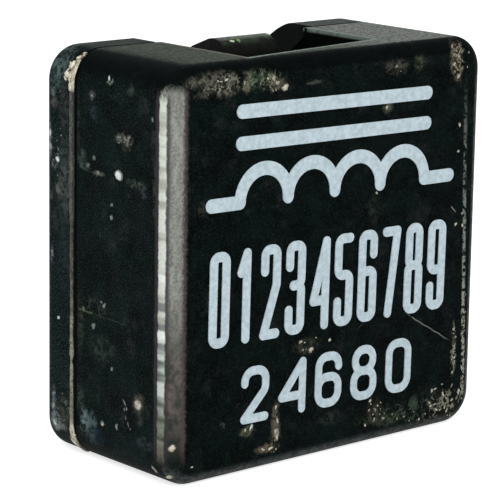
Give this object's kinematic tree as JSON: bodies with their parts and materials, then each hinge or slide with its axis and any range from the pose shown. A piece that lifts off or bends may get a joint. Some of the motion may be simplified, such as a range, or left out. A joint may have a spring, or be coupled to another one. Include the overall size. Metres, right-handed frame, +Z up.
{
  "type": "power inductor",
  "caption": "Shielded flat-wire power inductor for surface mounting: two black ferrite cores glued round an edge-wound coil, with folded solder pads, standing on one side.",
  "frame": {"origin": "middle of the foot of the whole part's box, as it stands on one narrow side", "axes": "+X to the right along the marked face, +Y from the marked face back to the two solder pads, +Z up; on a board the pads' side (+Y) faces the board"},
  "size_m": [0.0128, 0.0062, 0.0126],
  "materials": {
    "ferrite": "matt sintered ferrite, black with a green cast, worn grey at the edges",
    "tinned_copper": "enamelled flat copper wire, tinned on the folded ends",
    "glue": "cured epoxy, pale and grubby",
    "ink": "matt printed ink, pale blue-white"
  },
  "bodies": {
    "root": {"front_core": "ferrite", "rear_core": "ferrite", "coil": "tinned_copper", "bond_left": "glue", "bond_right": "glue", "marking_symbol": "ink", "marking_digits": "ink", "marking_code": "ink"}
  },
  "joints": []
}
